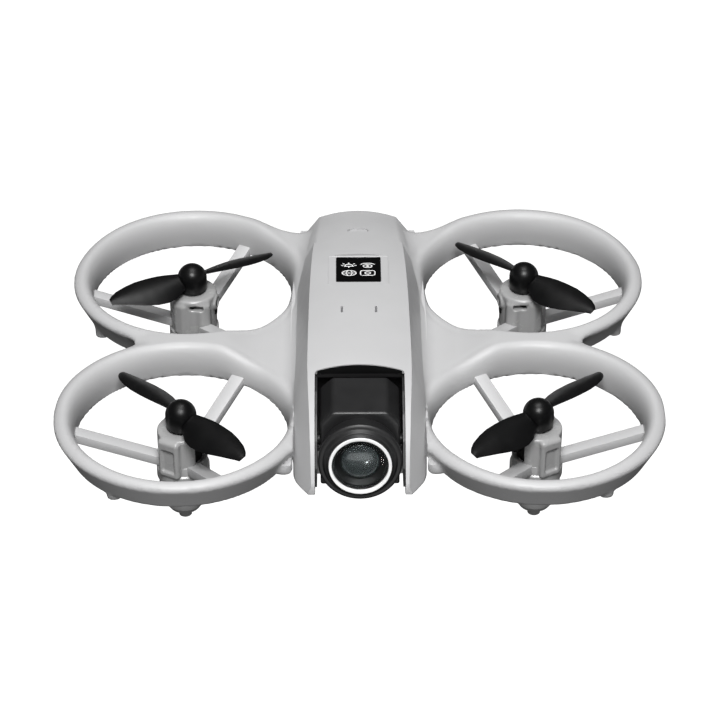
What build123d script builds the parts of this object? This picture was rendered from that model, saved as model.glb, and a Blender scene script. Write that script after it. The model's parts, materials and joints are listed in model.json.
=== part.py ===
from build123d import *
import os
from math import cos, radians, sin

# Palm-size camera drone: four ducted two-blade propellers round a narrow fuselage.
# Row frame in millimetres: the camera looks along -Y, +X is to the right of someone who
# faces the camera, +Z up. The origin is the bottom centre of the bounding box, and the
# drone stands on the nubs under its four motor pods. Left and right are that person's.

# ---- driving dimensions -------------------------------------------------------------
DUCT_X = 46.0            # duct centres, left and right
DUCT_Y = 32.0            # duct centres, front and rear
DUCT_R = 27.4            # clear radius inside a guard ring
RING_R = 33.0            # outer radius of a guard ring
RING_FOOT_R = 28.6       # where the slanted outer skirt ends underneath
RING_BASE_Z = 24.8       # underside of a guard ring
RING_SKIRT_Z = 29.6      # where the slanted outer skirt starts
LIP_R = (RING_R - DUCT_R) / 2
LIP_Z = 31.1             # centre height of the rounded lip
WEB_LOW_Z = 25.2
WEB_TOP_Z = 31.2
NOTCH_X = 59.5           # the web between two rings ends here
STUD_R = 1.65            # small studs under the rings
STUD_RING_R = 29.6
STUD_LOW_Z = 22.2
BOSS_R = 2.2             # lug between a front ring and its cheek
BOSS_X = 18.4
BOSS_Y = -49.4

PARTING_Z = 31.5         # top shell sits on the lower chassis here
BELLY_Z = 9.0
BELLY_X = 12.0
BILGE_X = 15.0           # belly chamfer: half width where it meets the side
BILGE_Z = 12.0
SIDE_LOW_Z = 27.0
WALL = 1.4
REAR_Y = 57.3
NOSE_Y = -27.0           # rear edge of the camera notch
CABIN_FRONT_Y = -20.5
# fuselage stations: y, side half width, ridge half width, ridge height, crown height
STATIONS = (
    (REAR_Y, 16.2, 10.9, 36.2, 37.8),
    (41.0, 17.4, 11.9, 40.1, 41.6),
    (23.0, 18.2, 12.8, 42.7, 44.3),
    (-3.0, 17.8, 13.2, 43.8, 45.5),
    (-14.0, 16.8, 13.4, 43.5, 45.1),
    (NOSE_Y, 16.4, 13.4, 42.4, 43.8),
)
CHEEK_IN_X = 11.5
# cheek stations: y, ridge half width, ridge height, outer half width, bottom height
CHEEK_STATIONS = (
    (NOSE_Y, 13.4, 42.4, 16.4, 21.0),
    (-33.0, 13.2, 41.3, 16.3, 21.6),
    (-40.0, 12.9, 38.9, 16.1, 22.0),
    (-46.0, 12.7, 34.4, 15.7, 22.2),
    (-50.5, 12.5, 29.2, 15.3, 22.4),
    (-53.4, 12.4, 25.0, 14.9, 22.9),
)

POD_R = 6.4              # motor clip, outside
CAN_R = 5.0
CAN_LOW_Z = 6.0
CAN_TOP_Z = 27.2
HUB_LOW_Z = 13.5
HUB_TOP_Z = 20.0
CLIP_TOP_Z = 28.4
CLIP_CAP_Z = 27.4
NUB_R = 1.7
NUB_H = 1.5
SHAFT_R = 0.75
RUNNING_GAP = 0.05
SHAFT_LOW_Z = 21.0
SHAFT_TOP_Z = 33.5
SPOKE_W = 4.0
SPOKE_H = 2.6
SPOKE_HUB_Z = 17.0       # underside of a spoke at the hub
SPOKE_RIM_Z = 24.9       # underside of a spoke at the guard ring
SPOKE_ANGLES = (180.0, 60.0, -60.0)   # on the left ducts; mirrored on the right

PROP_LOW_Z = 28.8
PROP_DOME_Z = 32.3
PROP_HUB_R = 4.05
BLADE_Z = 31.5
# blade stations: radius, chord, thickness, pitch in degrees
BLADE_STATIONS = (
    (3.0, 5.6, 1.1, 42.0),
    (7.0, 8.4, 0.9, 38.0),
    (13.0, 9.2, 0.8, 30.0),
    (19.5, 7.2, 0.7, 23.0),
    (24.8, 3.2, 0.6, 18.0),
)

PIVOT_Y = -38.5          # camera tilt axis, along X
PIVOT_Z = 29.1
LENS_TILT = 8.0          # degrees that the lens looks up at rest
LENS_REACH = 13.6        # pivot to the plane of the white lens ring
HEAD_X = 10.1            # camera block half width
CAVITY_R = 16.8
LINER_T = 0.8
SIDE_LINER_T = 0.6
TRUNNION_R = 1.5
TRUNNION_END_X = 13.2
BUSHING_R = 2.6
TILT_MOTOR_R = 3.4
BEARING_X = 13.7         # the bushing and the motor end here, inside their cheeks
BEARING_BORE_X = 13.4
BARREL_R = 10.3

DISPLAY_Y = 17.4
DISPLAY_Z = 44.1         # floor of the display recess
DISPLAY_PITCH = -5.0     # the top slopes down to the rear
DISPLAY_RECESS = (16.0, 15.2)
WINDOW_SIZE = (12.0, 13.4)
WINDOW_SHIFT = 0.6       # the window sits a little behind the recess centre
WINDOW_T = 0.8
BUTTON_Y = 41.0
BUTTON_Z = 41.35
BUTTON_PITCH = -10.8
BUTTON_LENGTH = 5.5
BUTTON_W = 3.0
BUTTON_GAP = 0.2
SLOT_X = 4.5
SLOT_Y = -3.1
SLOT_W = 0.6
SLOT_LENGTH = 3.0

PACK_X = 14.0            # battery pack half width
PACK_LOW_Z = 11.0
PACK_TOP_Z = 27.6
PACK_FRONT_Y = -8.0
PACK_GAP = 0.4
PORT_Z = 33.5            # charging port centre
PORT_W = 9.3             # standard small reversible socket, with its metal shell
PORT_H = 3.6
PORT_SHELL_T = 0.4
PORT_DEPTH = 7.4
FLOW_Y = -15.0
FLOW_R = 3.6
SCREW_X = 10.2
SCREW_R = 1.1
SCREW_HEAD_R = 1.95

CORNERS = {
    "front_left": (-1, -1),
    "front_right": (1, -1),
    "rear_left": (-1, 1),
    "rear_right": (1, 1),
}
# direction of one blade at rest, degrees from +X, and which way the blade is pitched
PROP_REST = {
    "front_left": (133.0, 1),
    "front_right": (42.0, -1),
    "rear_left": (27.5, -1),
    "rear_right": (139.5, 1),
}


# ---- helpers ------------------------------------------------------------------------
def save(name, shape):
    export_step(Compound(shape.solids()), f"parts/{name}.step")


def span_box(low, high):
    """Box between two opposite corners."""
    size = [b - a for a, b in zip(low, high)]
    centre = [(a + b) / 2 for a, b in zip(low, high)]
    return Pos(*centre) * Box(*size)


def revolved(points):
    """Solid of revolution about Z from (radius, z) points."""
    outline = Polyline(*points, close=True)
    return revolve(Plane.XZ * make_face(outline), Axis.Z)


def tube(outer_r, inner_r, low_z, high_z):
    return revolved([(inner_r, low_z), (outer_r, low_z), (outer_r, high_z), (inner_r, high_z)])


def rod(radius, low_z, high_z):
    return Pos(0, 0, (low_z + high_z) / 2) * Cylinder(radius, high_z - low_z)


def x_rod(radius, low_x, high_x, y, z):
    """Cylinder along X."""
    centre = Pos((low_x + high_x) / 2, y, z)
    return centre * Rot(0, 90, 0) * Cylinder(radius, high_x - low_x)


def side_plate(points, low_x, high_x):
    """Plate with a (y, z) outline between two x planes."""
    face = Plane.YZ * make_face(Polyline(*points, close=True))
    return Pos(low_x, 0, 0) * extrude(face, high_x - low_x, dir=(1, 0, 0))


def mirrored_outline(right_half):
    """Closed point list from the points of its right half, bottom to top."""
    left_half = [(-x, z) for x, z in reversed(right_half)]
    return right_half + left_half


# ---- fuselage -----------------------------------------------------------------------
def fuselage_section(station, inset):
    y, side_x, ridge_x, ridge_z, crown_z = station
    right = [
        (BELLY_X - inset * 0.6, BELLY_Z + inset),
        (BILGE_X - inset, BILGE_Z + inset * 0.6),
        (side_x - inset, SIDE_LOW_Z),
        (side_x - inset, PARTING_Z),
        (ridge_x - inset * 0.7, ridge_z - inset),
    ]
    left = [(-x, z) for x, z in reversed(right)]
    crown = ThreePointArc(right[-1], (0, crown_z - inset), left[0])
    sides = Polyline(*left, *right)
    plane = Plane(origin=(0, y, 0), x_dir=(1, 0, 0), z_dir=(0, -1, 0))
    return plane * make_face(crown + sides)


def fuselage_body(inset):
    return loft([fuselage_section(station, inset) for station in STATIONS])


def cheek(side):
    faces = []
    for y, ridge_x, ridge_z, outer_x, low_z in CHEEK_STATIONS:
        points = [(CHEEK_IN_X, low_z), (outer_x, low_z), (ridge_x, ridge_z), (CHEEK_IN_X, ridge_z + 0.3)]
        points = [(side * x, z) for x, z in points]
        plane = Plane(origin=(0, y, 0), x_dir=(1, 0, 0), z_dir=(0, -1, 0))
        faces.append(plane * make_face(Polyline(*points, close=True)))
    return loft(faces)


def camera_cavity():
    return x_rod(CAVITY_R, -CHEEK_IN_X, CHEEK_IN_X, PIVOT_Y, PIVOT_Z)


def pack_section(gap):
    """Battery cross-section, grown by a gap, as a face in the XZ plane."""
    right = [
        (10.4 + gap, PACK_LOW_Z - gap),
        (13.2 + gap, PACK_LOW_Z + 2.8),
        (PACK_X + gap, PACK_TOP_Z + gap),
    ]
    return Plane.XZ * make_face(Polyline(*mirrored_outline(right), close=True))


def display_place():
    return Pos(0, DISPLAY_Y, DISPLAY_Z) * Rot(DISPLAY_PITCH, 0, 0)


def button_place():
    return Pos(0, BUTTON_Y, BUTTON_Z) * Rot(BUTTON_PITCH, 0, 0)


def pill(length, width, low, high):
    """Upright slab with round ends, along X."""
    return Pos(0, 0, low) * extrude(SlotOverall(length, width), high - low)


def make_top_shell(body, cabin):
    shell = body & span_box((-30, NOSE_Y, PARTING_Z), (30, REAR_Y, 60))
    shell -= cabin
    shell += cheek(-1)
    shell += cheek(1)
    shell -= camera_cavity()
    # display recess and window opening, button well, two narrow slots, charging port
    shell -= display_place() * Pos(0, 0, 1) * Box(*DISPLAY_RECESS, 2.0)
    shell -= display_place() * Pos(0, WINDOW_SHIFT, -1) * Box(*WINDOW_SIZE, 6.0)
    shell -= button_place() * pill(BUTTON_LENGTH + 2 * BUTTON_GAP, BUTTON_W + 2 * BUTTON_GAP, -4.0, 4.0)
    for side in (-1, 1):
        shell -= Pos(side * SLOT_X, SLOT_Y, 44) * Box(SLOT_W, SLOT_LENGTH, 6.0)
    shell -= Pos(0, REAR_Y, PORT_Z) * Rot(90, 0, 0) * extrude(SlotOverall(PORT_W, PORT_H), 8, both=True)
    # pockets for the tilt bearing and the tilt motor
    shell -= x_rod(BUSHING_R, -BEARING_X, -CHEEK_IN_X, PIVOT_Y, PIVOT_Z)
    shell -= x_rod(TILT_MOTOR_R, CHEEK_IN_X, BEARING_X, PIVOT_Y, PIVOT_Z)
    return shell


def make_lower_chassis(body, cabin):
    tub = body & span_box((-30, NOSE_Y, 0), (30, REAR_Y, PARTING_Z))
    # board ledges stay on both sides of the cabin, above the battery
    ledges = span_box((-30, CABIN_FRONT_Y, 28.4), (30, REAR_Y, 29.4))
    ledges -= span_box((-13.0, -60, 20), (13.0, 60, 40))
    tub -= cabin - ledges
    tub -= camera_cavity()
    tub -= Pos(0, REAR_Y + 5, 0) * extrude(pack_section(PACK_GAP), 20, dir=(0, -1, 0))
    tub -= Pos(0, FLOW_Y, BELLY_Z) * Cylinder(FLOW_R, 4)
    for side in (-1, 1):
        tub -= Pos(side * SCREW_X, FLOW_Y, BELLY_Z) * Cylinder(SCREW_R + 0.1, 5)
        tub -= Pos(side * SCREW_X, FLOW_Y, BELLY_Z) * Cylinder(SCREW_HEAD_R + 0.05, 1.2)
    return tub


def make_camera_liner():
    arc = x_rod(CAVITY_R, -CHEEK_IN_X, CHEEK_IN_X, PIVOT_Y, PIVOT_Z)
    arc -= x_rod(CAVITY_R - LINER_T, -CHEEK_IN_X, CHEEK_IN_X, PIVOT_Y, PIVOT_Z)
    arc &= span_box((-20, NOSE_Y - 0.2, 15), (20, 0, 41.6))
    outline = [(-27.0, 21.6), (-48.0, 22.8), (-51.4, 23.6), (-49.6, 28.0), (-45.4, 33.4),
               (-39.6, 37.7), (-33.0, 40.1), (-27.0, 41.0)]
    inner_x = CHEEK_IN_X - SIDE_LINER_T
    liner = arc
    for low_x in (-CHEEK_IN_X, inner_x):
        plate = side_plate(outline, low_x, low_x + SIDE_LINER_T)
        liner += plate - x_rod(TRUNNION_R + 0.5, -20, 20, PIVOT_Y, PIVOT_Z)
    return liner


# ---- guard rings --------------------------------------------------------------------
def guard_ring(side_x, side_y):
    crest = ThreePointArc((DUCT_R, LIP_Z), (DUCT_R + LIP_R, LIP_Z + LIP_R), (RING_R, LIP_Z))
    skirt = Polyline((RING_R, LIP_Z), (RING_R, RING_SKIRT_Z), (RING_FOOT_R, RING_BASE_Z),
                     (DUCT_R, RING_BASE_Z), (DUCT_R, LIP_Z))
    ring = revolve(Plane.XZ * make_face(crest + skirt), Axis.Z)
    return Pos(side_x * DUCT_X, side_y * DUCT_Y, 0) * ring


def ring_web(side_x, side_y):
    """Flat web that joins a ring to its neighbour and to the fuselage."""
    if side_y > 0:
        end = [(29.5, 60.6), (23.2, 57.3), (15.0, 54.8)]
    else:
        end = [(19.6, 51.6), (15.0, 49.0)]
    plan = [(15.0, 0.0), (NOTCH_X, 0.0), (NOTCH_X, 3.0), (DUCT_X, DUCT_Y)] + end
    plan = [(side_x * x, side_y * y) for x, y in plan]
    face = make_face(Polyline(*plan, close=True))
    web = Pos(0, 0, WEB_LOW_Z) * extrude(face, WEB_TOP_Z - WEB_LOW_Z, dir=(0, 0, 1))
    duct = Pos(side_x * DUCT_X, side_y * DUCT_Y, 28) * Cylinder(DUCT_R, 40)
    return web - duct


def ring_stud(side_x, side_y):
    angle = radians(233.0 if side_y < 0 else 210.0)
    x = side_x * (DUCT_X - STUD_RING_R * cos(angle))
    y = side_y * DUCT_Y + STUD_RING_R * sin(angle)
    return Pos(x, y, 0) * rod(STUD_R, STUD_LOW_Z, 28.0)


def make_guard(side_x, side_y, body):
    guard = guard_ring(side_x, side_y) + ring_web(side_x, side_y) + ring_stud(side_x, side_y)
    if side_y < 0:
        guard += Pos(side_x * BOSS_X, BOSS_Y, 0) * rod(BOSS_R, 24.4, 30.2)
    half = span_box((-90, 0, 0), (90, 90, 60)) if side_y > 0 else span_box((-90, -90, 0), (90, 0, 60))
    guard &= half
    guard -= body
    guard -= cheek(side_x)
    return guard


# ---- motor pods ---------------------------------------------------------------------
def pod_place(side_x, side_y):
    return Pos(side_x * DUCT_X, side_y * DUCT_Y, 0)


def make_spider(side_x, guard):
    """Three sloping spokes and the hub ring that holds a pod."""
    hub = tube(POD_R + 0.5, CAN_R, HUB_LOW_Z, HUB_TOP_Z)
    start_r = CAN_R + 0.7
    end_r = DUCT_R + 0.6
    spider = hub
    for angle in SPOKE_ANGLES:
        heading = angle if side_x < 0 else 180.0 - angle
        outline = [(start_r, SPOKE_HUB_Z), (end_r, SPOKE_RIM_Z),
                   (end_r, SPOKE_RIM_Z + SPOKE_H), (start_r, SPOKE_HUB_Z + SPOKE_H)]
        face = Plane.XZ * make_face(Polyline(*outline, close=True))
        spoke = Pos(0, SPOKE_W / 2, 0) * extrude(face, SPOKE_W, dir=(0, -1, 0))
        spider += Rot(0, 0, heading) * spoke
    return spider - guard


def make_motor_clip(side_x, side_y):
    """Three-sided holder with a cap; its open side faces the fuselage."""
    clip = tube(POD_R, CAN_R, HUB_TOP_Z, CLIP_CAP_Z) + tube(POD_R, 1.6, CLIP_CAP_Z, CLIP_TOP_Z)
    mouth = span_box((2.0, -4.2, HUB_TOP_Z + 0.8), (9.0, 4.2, CLIP_CAP_Z - 1.0))
    clip -= Rot(0, 0, 0 if side_x < 0 else 180) * mouth
    window = span_box((4.5, -1.6, HUB_TOP_Z + 1.0), (9.0, 1.6, CLIP_CAP_Z - 1.6))
    heading = 240.0 if side_y < 0 else 275.0
    clip -= Rot(0, 0, heading if side_x < 0 else 180.0 - heading) * window
    return clip


def make_motor_can():
    can = rod(CAN_R, CAN_LOW_Z, CAN_TOP_Z)
    can -= rod(SHAFT_R + RUNNING_GAP, SHAFT_LOW_Z - 0.3, CAN_TOP_Z + 1)
    return can


def make_pod_cup():
    return revolved([(0, 0), (NUB_R, 0), (NUB_R, NUB_H), (4.3, 2.1), (5.5, 3.6), (6.1, 6.0),
                     (POD_R, 9.0), (POD_R, HUB_LOW_Z), (CAN_R, HUB_LOW_Z), (CAN_R, CAN_LOW_Z),
                     (0, CAN_LOW_Z)])


def blade(hand):
    """One twisted blade along +X with a clipped tip; hand is the sign of its pitch."""
    faces = []
    for radius, chord, thick, pitch in BLADE_STATIONS:
        outline = [(-chord / 2, 0), (-chord / 4, -thick / 2), (chord / 4, -thick / 2),
                   (chord / 2, 0), (chord / 4, thick / 2), (-chord / 4, thick / 2)]
        section = Rot(0, 0, hand * pitch) * make_face(Polyline(*outline, close=True))
        plane = Plane(origin=(radius, 0, BLADE_Z), x_dir=(0, 1, 0), z_dir=(1, 0, 0))
        faces.append(plane * section)
    return loft(faces, ruled=True)


def make_propeller(heading, hand):
    hub = rod(PROP_HUB_R, PROP_LOW_Z, PROP_DOME_Z)
    hub += Pos(0, 0, PROP_DOME_Z) * Sphere(PROP_HUB_R)
    hub &= rod(PROP_HUB_R + 1, PROP_LOW_Z, 60)
    for turn in (0, 180):
        hub += Rot(0, 0, turn) * blade(hand)
    hub -= rod(SHAFT_R, 0, SHAFT_TOP_Z)
    return Rot(0, 0, heading) * hub


def make_rotor_shaft():
    return rod(SHAFT_R, SHAFT_LOW_Z, SHAFT_TOP_Z)


# ---- camera head (modelled looking along +Z, then laid onto its tilted axis) ---------
def lens_place():
    """Frame whose +Z is the lens axis and whose origin is the pivot."""
    axis = (0, -cos(radians(LENS_TILT)), sin(radians(LENS_TILT)))
    return Plane(origin=(0, PIVOT_Y, PIVOT_Z), x_dir=(1, 0, 0), z_dir=axis).location


def on_lens_axis(shape):
    return lens_place() * Pos(0, 0, LENS_REACH) * shape


def make_lens_barrel():
    outline = [(9.7, -7.0), (9.7, -3.5), (BARREL_R, -3.3), (BARREL_R, -2.3), (9.4, -2.1),
               (9.1, -1.2), (8.5, -0.5), (7.95, -0.3), (7.95, -0.9), (6.95, -0.9),
               (6.95, -1.6), (6.3, -1.6), (4.4, -4.2), (4.4, -7.0)]
    return on_lens_axis(revolved(outline))


def make_camera_housing():
    top_z = 41.0
    outline = [(-29.0, top_z), (-43.6, top_z), (-46.6, 39.7), (-47.2, 30.0), (-45.4, 20.6),
               (-33.0, 20.4), (-29.0, 23.4)]
    block = side_plate(outline, -HEAD_X, HEAD_X)
    shoulder = chamfer(block.edges().filter_by(Axis.Y).group_by(Axis.Z)[-1], 3.2)
    front = on_lens_axis(Pos(0, 0, 3.0) * Cylinder(40, 20))
    shoulder -= front
    hollow = on_lens_axis(Pos(0, 0, -11.6) * Box(14.0, 14.0, 9.2))
    return shoulder - hollow


def make_camera_trunnions():
    pins = x_rod(TRUNNION_R, HEAD_X, TRUNNION_END_X, PIVOT_Y, PIVOT_Z)
    return pins + x_rod(TRUNNION_R, -TRUNNION_END_X, -HEAD_X, PIVOT_Y, PIVOT_Z)


def make_lens_stack():
    """Inner lens tube with a domed front element."""
    stack = rod(4.3, -7.0, -4.0)
    dome = Pos(0, 0, -7.6) * Sphere(5.6)
    return on_lens_axis(stack + (dome & rod(4.3, -5.0, 2.0)))


# ---- write every node ---------------------------------------------------------------
os.makedirs("parts", exist_ok=True)

body = fuselage_body(0.0)
cabin = fuselage_body(WALL) & span_box((-30, CABIN_FRONT_Y, 0), (30, REAR_Y - WALL, 60))
save("top_shell", make_top_shell(body, cabin))
save("lower_chassis", make_lower_chassis(body, cabin))
save("camera_liner", make_camera_liner())

right_guards = {side_y: make_guard(1, side_y, body) for side_y in (-1, 1)}
for corner, (side_x, side_y) in CORNERS.items():
    place = pod_place(side_x, side_y)
    guard = right_guards[side_y]
    if side_x < 0:
        guard = mirror(guard, about=Plane.YZ)
    save(f"guard_ring_{corner}", guard)
    save(f"spider_{corner}", place * make_spider(side_x, place.inverse() * guard))
    save(f"motor_clip_{corner}", place * make_motor_clip(side_x, side_y))
    save(f"motor_can_{corner}", place * make_motor_can())
    save(f"pod_cup_{corner}", place * make_pod_cup())
    heading, hand = PROP_REST[corner]
    save(f"propeller_{corner}", place * make_propeller(heading, hand))
    save(f"rotor_shaft_{corner}", place * make_rotor_shaft())

save("camera_housing", make_camera_housing())
save("lens_barrel", make_lens_barrel())
save("lens_ring", on_lens_axis(tube(7.95, 7.0, -0.9, 0.0)))
save("lens_cover_glass", on_lens_axis(rod(6.95, -1.6, -1.0)))
save("lens_stack", make_lens_stack())
save("sensor_board", on_lens_axis(Pos(0, 0, -8.2) * Box(12.0, 12.0, 1.0)))
save("camera_trunnions", make_camera_trunnions())
save("trunnion_bushing",
     x_rod(BUSHING_R, -BEARING_X, -CHEEK_IN_X, PIVOT_Y, PIVOT_Z)
     - x_rod(TRUNNION_R + RUNNING_GAP, -BEARING_BORE_X, 0, PIVOT_Y, PIVOT_Z))
save("tilt_motor",
     x_rod(TILT_MOTOR_R, CHEEK_IN_X, BEARING_X, PIVOT_Y, PIVOT_Z)
     - x_rod(TRUNNION_R + RUNNING_GAP, 0, BEARING_BORE_X, PIVOT_Y, PIVOT_Z))

save("display_window", display_place() * Pos(0, WINDOW_SHIFT, -WINDOW_T / 2) * Box(*WINDOW_SIZE, WINDOW_T))
save("display_board", display_place() * Pos(0, WINDOW_SHIFT, -2.2) * Box(13.0, 15.0, 1.0))
save("power_button", button_place() * pill(BUTTON_LENGTH, BUTTON_W, -1.6, 0.1))
save("button_switch", button_place() * Pos(0, 0, -3.4) * Box(3.6, 3.6, 2.2))
light_pipe = Pos(0, SLOT_Y, 43.9) * Box(SLOT_W, SLOT_LENGTH, 2.4)
save("status_light_pipes", Pos(-SLOT_X, 0, 0) * light_pipe + Pos(SLOT_X, 0, 0) * light_pipe)
save("main_board", span_box((-14.0, -18.0, 29.4), (14.0, 52.0, 30.6)))
save("radio_antenna", span_box((-9.0, -17.0, 41.0), (9.0, -9.0, 41.5)))

pack = Pos(0, REAR_Y, 0) * extrude(pack_section(0.0), REAR_Y - PACK_FRONT_Y, dir=(0, -1, 0))
latch_pocket = span_box((-4.6, REAR_Y - 4.4, 22.6), (4.6, REAR_Y + 1, 26.4))
save("battery_pack", pack - latch_pocket)
save("battery_latch", span_box((-4.2, REAR_Y - 4.0, 23.8), (4.2, REAR_Y + 0.9, 26.1)))
save("battery_contacts", span_box((-6.0, PACK_FRONT_Y - 3.4, 15.6), (6.0, PACK_FRONT_Y - 0.4, 24.0)))
port = extrude(SlotOverall(PORT_W, PORT_H), PORT_DEPTH)
port -= extrude(SlotOverall(PORT_W - 2 * PORT_SHELL_T, PORT_H - 2 * PORT_SHELL_T), PORT_DEPTH - 0.8)
port += Pos(0, 0, 3.7) * Box(6.4, 0.7, 6.2)
save("charge_port", Pos(0, REAR_Y, PORT_Z) * Rot(90, 0, 0) * port)
save("flow_sensor_window", Pos(0, FLOW_Y, 0) * rod(FLOW_R, BELLY_Z, BELLY_Z + 1.0))
save("flow_sensor_module", Pos(0, FLOW_Y, 0) * rod(3.0, BELLY_Z + WALL, BELLY_Z + 6.0))
screw = rod(SCREW_HEAD_R, BELLY_Z + 0.1, BELLY_Z + 0.6) + rod(SCREW_R, BELLY_Z + 0.6, BELLY_Z + 4.0)
save("shell_screws", Pos(-SCREW_X, FLOW_Y, 0) * screw + Pos(SCREW_X, FLOW_Y, 0) * screw)
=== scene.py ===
import json
import math

import bmesh
import bpy
import numpy as np
from mathutils import Matrix, Vector


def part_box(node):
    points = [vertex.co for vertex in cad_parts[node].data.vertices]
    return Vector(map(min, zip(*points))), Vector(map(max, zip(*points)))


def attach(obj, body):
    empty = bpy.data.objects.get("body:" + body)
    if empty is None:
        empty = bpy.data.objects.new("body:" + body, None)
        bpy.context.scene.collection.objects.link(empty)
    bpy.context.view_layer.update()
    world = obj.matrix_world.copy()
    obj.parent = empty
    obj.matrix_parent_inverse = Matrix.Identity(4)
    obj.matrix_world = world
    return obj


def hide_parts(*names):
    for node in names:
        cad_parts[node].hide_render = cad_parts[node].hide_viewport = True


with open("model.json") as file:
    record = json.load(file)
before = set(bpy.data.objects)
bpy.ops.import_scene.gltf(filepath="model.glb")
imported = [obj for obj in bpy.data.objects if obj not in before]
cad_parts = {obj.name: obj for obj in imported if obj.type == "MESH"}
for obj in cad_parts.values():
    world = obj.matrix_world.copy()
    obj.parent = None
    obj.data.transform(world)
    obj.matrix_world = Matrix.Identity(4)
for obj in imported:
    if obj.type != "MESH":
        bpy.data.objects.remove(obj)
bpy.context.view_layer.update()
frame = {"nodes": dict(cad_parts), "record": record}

# Looks of the palm drone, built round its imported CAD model. Lengths in the shape code are
# millimetres in the row frame, and MM turns them into Blender's metres.
MM = 0.001
NODES = frame["nodes"]
CORNERS = {"front_left": (-1, -1), "front_right": (1, -1), "rear_left": (-1, 1), "rear_right": (1, 1)}


def corner_mm(node, which):
    """Lowest (0) or highest (1) corner of a CAD node, in millimetres."""
    return np.array(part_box(node)[which]) / MM


# ---- sizes read from the CAD model ----------------------------------------------------
can_low = corner_mm("motor_can_front_right", 0)
can_high = corner_mm("motor_can_front_right", 1)
DUCT_X, DUCT_Y = (can_low + can_high)[0] / 2, -(can_low + can_high)[1] / 2
RING_R = corner_mm("guard_ring_front_right", 1)[0] - DUCT_X
REAR_Y = corner_mm("top_shell", 1)[1]
CHEEK_TIP_Y = corner_mm("top_shell", 0)[1]
CREST_Z = corner_mm("guard_ring_front_right", 1)[2]

# ---- sizes of the visible forms ---------------------------------------------------------
# guard frame: clear radius of a duct, height where the skirt starts, and the two lower faces
DUCT_R = 27.4
LIP_R = (RING_R - DUCT_R) / 2
SKIRT_Z = 32.6
FOOT_Z = 24.7
WEB_LOW_Z = 25.2
# the web's waist between front and rear ducts, and how fast it widens away from the middle
NOTCH_X = 58.0
NOTCH_SPREAD = 0.42
WEB_FRONT_Y = -47.5
WEB_REAR_LINE = ((14.0, 54.3), (30.0, 60.4))
# depth of the bell mouth and how far its roll sinks beside the fuselage
BELL_DEPTH = 6.5
WEB_SAG = 3.2
# half width left free inside the frame for the fuselage, and how much wider it is at the cheeks
FRAME_IN_X = 14.8
FRAME_IN_GROW = 2.1
STUD_R = 1.95
STUD_PLACES = ((62.0, -53.9), (70.2, 17.7))
BOSS_R = 2.3
BOSS_X, BOSS_Y = 19.4, -48.3
FRAME_LOW = (-80.2, -66.2, 20.6)
FRAME_HIGH = (80.2, 66.2, 41.6)
FRAME_CELL = 0.78

# top shell: front edge over the camera, half width of the camera bay, end of the cheeks
NOSE_Y = -27.0
NOTCH_IN_X = 11.5
CHEEK_BACK_Y = -25.8
WALL = 1.4
SLOT_X, SLOT_Y = 4.5, -3.1

# camera head: tilt axis, radius of the bay round it, and the lens's own axis and reach
PIVOT_Y, PIVOT_Z = -38.5, 29.1
CAVITY_R = 16.8
LENS_TILT = math.radians(8.0)
LENS_REACH = 13.6
LENS_DROP = 0.45

# fuselage stations: y, ridge x, ridge z, crown height, side x, side z
STATIONS = np.array([
    (-53.4, 12.4, 25.0, 25.9, 13.1, 22.9),
    (-50.5, 12.5, 29.2, 30.1, 14.9, 22.9),
    (-47.5, 12.6, 32.9, 33.8, 16.4, 22.9),
    (-45.5, 12.7, 34.9, 35.9, 16.9, 23.8),
    (-40.0, 12.9, 38.9, 39.9, 17.0, 29.0),
    (-33.0, 13.2, 41.3, 42.5, 17.0, 33.0),
    (-27.0, 13.4, 42.4, 43.9, 17.0, 33.4),
    (-17.0, 13.4, 43.3, 44.9, 17.0, 32.4),
    (-6.0, 13.3, 43.7, 45.4, 17.2, 31.2),
    (10.0, 13.1, 43.4, 45.1, 17.4, 30.8),
    (25.0, 12.7, 42.5, 44.2, 17.3, 30.8),
    (41.0, 11.9, 40.1, 41.8, 16.8, 30.4),
    (57.3, 10.9, 36.2, 38.3, 15.8, 29.6),
])


# ---- field helpers ----------------------------------------------------------------------
def smooth_min(a, b, k):
    h = np.clip(0.5 + 0.5 * (b - a) / k, 0.0, 1.0)
    return b + (a - b) * h - k * h * (1.0 - h)


def smooth_max(a, b, k):
    return -smooth_min(-a, -b, k)


def union(k, *fields):
    result = fields[0]
    for other in fields[1:]:
        result = smooth_min(result, other, k)
    return result


def cut(k, *fields):
    """Common part of several fields, with edges rounded over about k."""
    result = fields[0]
    for other in fields[1:]:
        result = smooth_max(result, other, k)
    return result


def station_value(y, column):
    """Cubic through the fuselage stations."""
    knots, values = STATIONS[:, 0], STATIONS[:, column]
    slopes = np.gradient(values, knots)
    i = np.clip(np.searchsorted(knots, y) - 1, 0, len(knots) - 2)
    span = knots[i + 1] - knots[i]
    t = np.clip((y - knots[i]) / span, 0.0, 1.0)
    rise = values[i + 1] - values[i]
    a = slopes[i] * span - rise
    b = rise - slopes[i + 1] * span
    return values[i] * (1 - t) + values[i + 1] * t + t * (1 - t) * (a * (1 - t) + b * t)


def box_field(x, y, z, centre, half, rounding):
    qx = np.abs(x - centre[0]) - half[0] + rounding
    qy = np.abs(y - centre[1]) - half[1] + rounding
    qz = np.abs(z - centre[2]) - half[2] + rounding
    outside = np.sqrt(np.maximum(qx, 0) ** 2 + np.maximum(qy, 0) ** 2 + np.maximum(qz, 0) ** 2)
    return outside + np.minimum(np.maximum(qx, np.maximum(qy, qz)), 0.0) - rounding


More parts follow.
